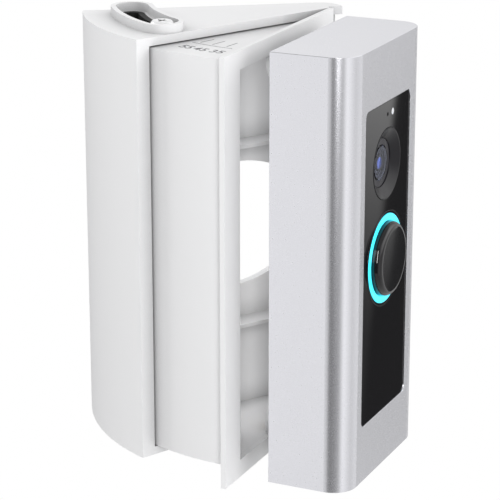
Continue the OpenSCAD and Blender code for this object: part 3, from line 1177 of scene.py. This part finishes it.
@dataclass
class Studio:
    """Plain floor, soft light and camera.

    Attributes:
        drop: Depth of the floor below the object, which hangs at hand height.
        floor_radius: Radius of the floor.
        eye: The camera's place.
        azimuth: Direction of view, in degrees to the left of straight at the wall.
        tilt: How far it looks down, in degrees.
        lens: Focal length in millimetres.
        sensor: Width of the sensor in millimetres.
        near: Nearest distance that the camera sees, in metres.
        sill: Elevations between which the lower wall turns into the upper, in degrees.
        cornice: Elevations between which that turns into the ceiling.
        flag_side: Compass angles of a cloth flag's sides, in degrees.
        flag_height: Elevations of its lower and upper edge, in degrees.
        flag_edge: Compass angle and elevation of a point on the line where its two cloths meet.
        flag_lean: Degrees of compass angle per degree of elevation along that line.
        flag_slant: The same along the flag's right side, which leans out.
        flag_soft: Width of the flag's soft edges, in degrees.
        flag_side_soft: Half the width of its leaning side's soft edge.
        flag_seam: Half the width of the line where its cloths meet.
        flag_dark: Brightness of the black cloth.
        flag_pale: Brightness of the grey cloth, from its bottom to its top.
        flag_fade: Elevations between which the grey cloth brightens.
        flag_curve: How late it brightens; 1 is evenly.
    """

    drop: float = 0.9
    floor_radius: float = 1.6
    eye: tuple[float, float, float] = (-0.0865, -0.5656, 0.1687)
    azimuth: float = -9.97
    tilt: float = 17.56
    lens: float = 154.4
    sensor: float = 36.0
    near: float = 0.01
    sill: tuple[float, float] = (3.0, 12.0)
    cornice: tuple[float, float] = (35.0, 45.0)
    flag_side: tuple[float, float] = (31.0, 35.5)
    flag_height: tuple[float, float] = (-27.0, -9.0)
    flag_edge: tuple[float, float] = (33.93, -13.6)
    flag_lean: float = 0.093
    flag_slant: float = 0.4
    flag_soft: float = 0.5
    flag_side_soft: float = 1.0
    flag_seam: float = 0.08
    flag_dark: float = 0.07
    flag_pale: tuple[float, float] = (0.14, 1.0)
    flag_fade: tuple[float, float] = (-20.0, -13.5)
    flag_curve: float = 1.6

    def build(self) -> None:
        """Builds the floor, the light and the camera."""
        self.floor()
        self.surround()
        for softbox in SOFTBOXES:
            softbox.build()
        self.camera()

    def camera(self) -> None:
        """Places the camera and makes it the scene's own."""
        data = bpy.data.cameras.new("camera")
        data.lens = self.lens
        data.sensor_width = self.sensor
        data.clip_start = self.near
        camera = bpy.data.objects.new("camera", data)
        bpy.context.scene.collection.objects.link(camera)
        camera.location = self.eye
        camera.rotation_euler = (math.radians(90 - self.tilt), 0.0, math.radians(self.azimuth))
        bpy.context.scene.camera = camera

    def floor(self) -> None:
        """Builds a round pale floor."""
        low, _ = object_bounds()
        mesh = bmesh.new()
        centre = Vector((0, 0, low[2] - self.drop))
        bmesh.ops.create_circle(mesh, cap_ends=True, segments=ROUND_STEPS, radius=self.floor_radius)
        bmesh.ops.translate(mesh, vec=centre, verts=mesh.verts)
        data = bpy.data.meshes.new("floor")
        mesh.to_mesh(data)
        mesh.free()
        floor = bpy.data.objects.new("floor", data)
        bpy.context.scene.collection.objects.link(floor)
        data.materials.append(FLOOR_PAINT.material())
        floor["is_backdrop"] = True

    def surround(self) -> None:
        """Builds the studio round the object: white walls, soft dark gaps, a ceiling and the flag."""
        world = bpy.data.worlds.new("studio")
        bpy.context.scene.world = world
        world.use_nodes = True
        tree = world.node_tree
        tree.nodes.clear()
        way = add(tree, "ShaderNodeTexCoord").outputs["Generated"]
        parts = add(tree, "ShaderNodeSeparateXYZ", None, {0: way})
        compass = self.degrees(tree, "ARCTAN2", parts.outputs["Y"], parts.outputs["X"])
        elevation = self.degrees(tree, "ARCSINE", parts.outputs["Z"])
        lit = self.walls(tree, compass, elevation)
        flagged = self.flag(tree, compass, elevation, lit)
        studio = add(tree, "ShaderNodeBackground", {"Strength": 1.0}, {"Color": flagged})
        # The camera itself sees plain white behind the object.
        seen = add(tree, "ShaderNodeBackground", {"Color": (1, 1, 1, 1), "Strength": 1.0})
        camera = add(tree, "ShaderNodeLightPath").outputs["Is Camera Ray"]
        choice = add(
            tree,
            "ShaderNodeMixShader",
            None,
            {0: camera, 1: studio.outputs[0], 2: seen.outputs[0]},
        )
        add(tree, "ShaderNodeOutputWorld", None, {"Surface": choice.outputs[0]})

    def degrees(self, tree: Tree, operation: str, *sides: Socket) -> Socket:
        """Works out an angle in degrees.

        Args:
            tree: The world's node tree.
            operation: The inverse function.
            *sides: What it takes.

        Returns:
            The angle's socket.
        """
        angle = add(tree, "ShaderNodeMath", None, dict(enumerate(sides)), operation=operation)
        turned = add(tree, "ShaderNodeMath", None, {0: angle.outputs[0]}, operation="DEGREES")
        return turned.outputs[0]

    def walls(self, tree: Tree, compass: Socket, elevation: Socket) -> Socket:
        """Builds the walls in two storeys round the compass, with the ceiling over them.

        Args:
            tree: The world's node tree.
            compass: Compass angle in degrees.
            elevation: Elevation in degrees.

        Returns:
            The brightness socket.
        """
        turn = add(
            tree,
            "ShaderNodeMapRange",
            {"From Min": -180.0, "From Max": 180.0},
            {"Value": compass},
        ).outputs["Result"]
        storeys = []
        for levels in (WALLS, UPPER_WALLS):
            ramp = add(tree, "ShaderNodeValToRGB", None, {"Fac": turn})
            stops = levels + ((180, levels[0][1]),)
            set_stops(ramp, [((azimuth + 180) / 360, level) for azimuth, level in stops])
            storeys.append(ramp.outputs["Color"])
        lower, upper = storeys
        above, over = (
            add(tree, "ShaderNodeMapRange", {"From Min": start, "From Max": end}, {"Value": elevation})
            for start, end in (self.sill, self.cornice)
        )
        walls = add(
            tree,
            "ShaderNodeMix",
            None,
            {0: above.outputs["Result"], MIX_A: lower, MIX_B: upper},
            data_type="RGBA",
        )
        room = add(
            tree,
            "ShaderNodeMix",
            {MIX_B: (CEILING, CEILING, CEILING, 1.0)},
            {0: over.outputs["Result"], MIX_A: walls.outputs[MIX_OUT]},
            data_type="RGBA",
        )
        return room.outputs[MIX_OUT]

    def flag(self, tree: Tree, compass: Socket, elevation: Socket, lit: Socket) -> Socket:
        """Hangs a small flag of black and grey cloth where the gloss panel mirrors it.

        Args:
            tree: The world's node tree.
            compass: Compass angle in degrees.
            elevation: Elevation in degrees.
            lit: Brightness of the studio without it.

        Returns:
            Brightness of the studio with it.
        """
        west, east = self.flag_side
        low, high = self.flag_height
        edge, pivot = self.flag_edge
        slanted = self.leaned(tree, compass, elevation, low, self.flag_slant)
        across = self.leaned(tree, compass, elevation, pivot, self.flag_lean)
        sides = (
            (compass, west, west + self.flag_soft),
            (slanted, east + self.flag_side_soft, east - self.flag_side_soft),
            (elevation, low, low + self.flag_soft),
            (elevation, high, high - self.flag_soft),
            (across, edge - self.flag_seam, edge + self.flag_seam),
        )
        inside = []
        for value, start, end in sides:
            bounds = {"From Min": start, "From Max": end}
            share = add(tree, "ShaderNodeMapRange", bounds, {"Value": value})
            inside.append(share.outputs["Result"])
        *masks, black = inside
        mask = masks[0]
        for side in masks[1:]:
            product = add(tree, "ShaderNodeMath", None, {0: mask, 1: side}, operation="MULTIPLY")
            mask = product.outputs[0]
        cloth = add(
            tree,
            "ShaderNodeMix",
            {MIX_B: (self.flag_dark, self.flag_dark, self.flag_dark, 1.0)},
            {0: black, MIX_A: self.grey_cloth(tree, elevation)},
            data_type="RGBA",
        )
        hung = add(
            tree,
            "ShaderNodeMix",
            None,
            {0: mask, MIX_A: lit, MIX_B: cloth.outputs[MIX_OUT]},
            data_type="RGBA",
        )
        return hung.outputs[MIX_OUT]

    def leaned(
        self, tree: Tree, compass: Socket, elevation: Socket, pivot: float, lean: float
    ) -> Socket:
        """Gives the compass angle counted from a line that leans with height.

        Args:
            tree: The world's node tree.
            compass: Compass angle in degrees.
            elevation: Elevation in degrees.
            pivot: Elevation at which the line's own compass angle holds.
            lean: Degrees of compass angle per degree of elevation.

        Returns:
            The angle's socket.
        """
        shift = add(
            tree,
            "ShaderNodeMath",
            {1: -lean, 2: pivot * lean},
            {0: elevation},
            operation="MULTIPLY_ADD",
        )
        links = {0: compass, 1: shift.outputs[0]}
        return add(tree, "ShaderNodeMath", None, links, operation="ADD").outputs[0]

    def grey_cloth(self, tree: Tree, elevation: Socket) -> Socket:
        """Gives the grey cloth's brightness, which falls away downwards.

        Args:
            tree: The world's node tree.
            elevation: Elevation in degrees.

        Returns:
            The brightness socket.
        """
        start, end = self.flag_fade
        bounds = {"From Min": start, "From Max": end}
        rise = add(tree, "ShaderNodeMapRange", bounds, {"Value": elevation})
        curve = add(
            tree,
            "ShaderNodeMath",
            {1: self.flag_curve},
            {0: rise.outputs["Result"]},
            operation="POWER",
        )
        low, high = self.flag_pale
        level = add(
            tree, "ShaderNodeMapRange", {"To Min": low, "To Max": high}, {"Value": curve.outputs[0]}
        )
        return level.outputs["Result"]


# Width of the soft edge of each node in sight, in millimetres.
SOFT_EDGES = {
    "outer_wedge": 0.3,
    "inner_wedge": 0.25,
    "faceplate": 0.3,
    "front_panel": 0.12,
    "rear_housing": 0.2,
    "lock_screw": 0.1,
    "lock_washer": 0.06,
    "camera_bezel": 0.1,
    "button_trim": 0.1,
    "light_ring": 0.08,
    "terminal_block": 0.15,
}


def main() -> None:
    """Builds the doorbell's looks in order, and then the studio."""
    logging.basicConfig(level=logging.INFO, format="%(message)s")
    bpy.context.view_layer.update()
    bpy.context.scene.view_settings.view_transform = "Standard"
    parts = PackedParts(SOFT_EDGES)
    parts.build()
    parts.dress()
    CameraEye().build()
    PressButton().build()
    AngleScale().build()
    LockRecessShade().build()
    SlotShadeLiner().build()
    Studio().build()


if __name__ == "__main__":
    main()
